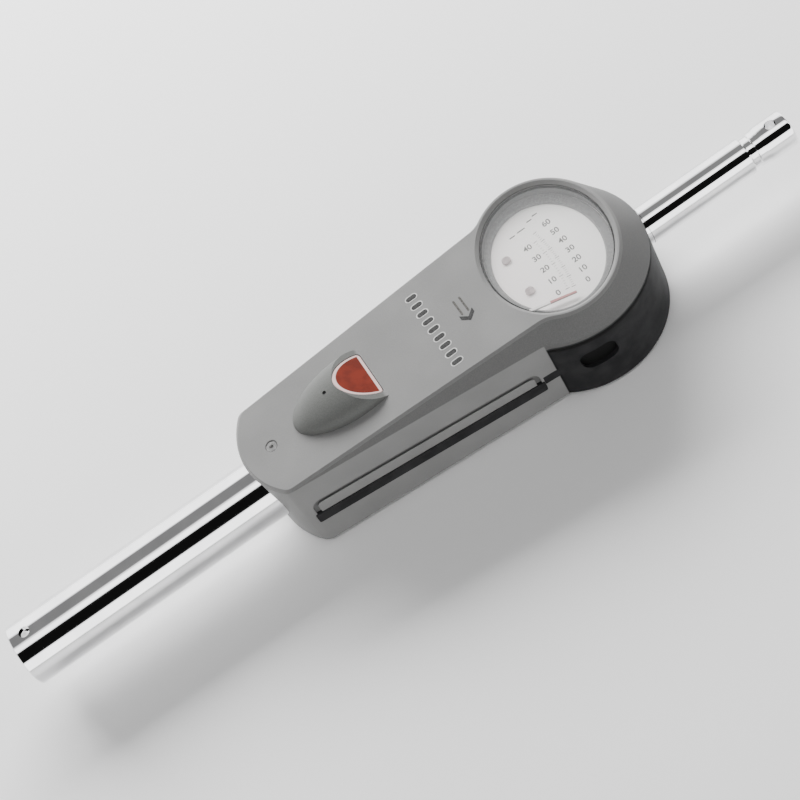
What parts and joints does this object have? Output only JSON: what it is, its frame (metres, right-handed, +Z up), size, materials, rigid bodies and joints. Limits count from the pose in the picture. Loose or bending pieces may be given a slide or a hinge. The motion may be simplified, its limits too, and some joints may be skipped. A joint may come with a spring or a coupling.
{
  "type": "torque wrench",
  "caption": "Dial-reading torque wrench: chromed handle tube, flat housing with an oval dial window, a reset button and a round drive spigot for interchangeable heads.",
  "frame": {"origin": "under the middle of the tool, on the plane of its flat underside", "axes": "+X along the tool from the handle's open end to the drive spigot, +Z up through the dial, +Y to the left of someone who holds the handle"},
  "size_m": [0.4364, 0.09, 0.0641],
  "materials": {
    "housing_paint": "matt, fine grain",
    "bumper_rubber": "matt",
    "chrome_plate": "polished",
    "steel": "ground",
    "dark_steel": "blackened",
    "bronze": "turned",
    "pointer_paint": "painted, with a red outer end",
    "marker_paint": "painted",
    "dial_paint": "printed scale",
    "ring_grey": "satin",
    "lens": "clear",
    "button_red": "glossy"
  },
  "bodies": {
    "housing": {"upper_shell": "housing_paint", "lower_shell": "housing_paint", "head_bumper": "bumper_rubber", "side_strip_right": "bumper_rubber", "side_strip_left": "bumper_rubber", "handle_tube": "chrome_plate", "yoke": "steel", "yoke_pins": "steel", "blade_screws": "dark_steel", "measuring_blade": "dark_steel", "main_pivot_pin": "steel", "retaining_rings": "dark_steel", "thrust_washers": "bronze", "stop_pins": "steel", "bar_seal": "bumper_rubber", "pointer_staff": "steel", "pointer_bridge": "steel", "bridge_posts": "steel", "bridge_screws": "dark_steel", "dial_plate": "dial_paint", "dial_pillars": "steel", "dial_screws": "dark_steel", "dial_ring": "ring_grey", "lens_gasket": "bumper_rubber", "window_lens": "lens", "button_spring": "steel", "button_pin": "dark_steel", "shell_screws": "dark_steel", "tail_screw": "steel"},
    "drive_arm": {"drive_bar": "chrome_plate", "pivot_bush": "bronze", "link_plate": "steel", "link_pin": "steel", "link_screws": "dark_steel"},
    "pointer_body": {"pointer": "pointer_paint"},
    "marker_body": {"marker_hand": "marker_paint"},
    "button_body": {"reset_button": "button_red", "button_stem": "steel"}
  },
  "joints": [
    {"name": "drive_swing", "type": "hinge", "parent": "housing", "child": "drive_arm", "pos_m": [0.112, 0, 0.028], "axis": [0, 0, 1], "range_deg": [-2.3, 0], "stiffness_Nm_per_rad": 40, "deforming": ["measuring_blade"]},
    {"name": "pointer_swing", "type": "hinge", "parent": "housing", "child": "pointer_body", "pos_m": [-0.0156, 0, 0.046], "axis": [0, 0, 1], "range_deg": [0, 23]},
    {"name": "marker_swing", "type": "hinge", "parent": "housing", "child": "marker_body", "pos_m": [-0.0156, 0, 0.048], "axis": [0, 0, 1], "range_deg": [0, 23]},
    {"name": "reset_press", "type": "slide", "parent": "housing", "child": "button_body", "axis": [-0.4606, 0, -0.8876], "range_m": [0, 0.0018], "stiffness_N_per_m": 300, "springref_m": -0.002, "deforming": ["button_spring"]}
  ],
  "couplings": [
    {"joint": "pointer_swing", "follows": "drive_swing", "ratio": -10}
  ]
}
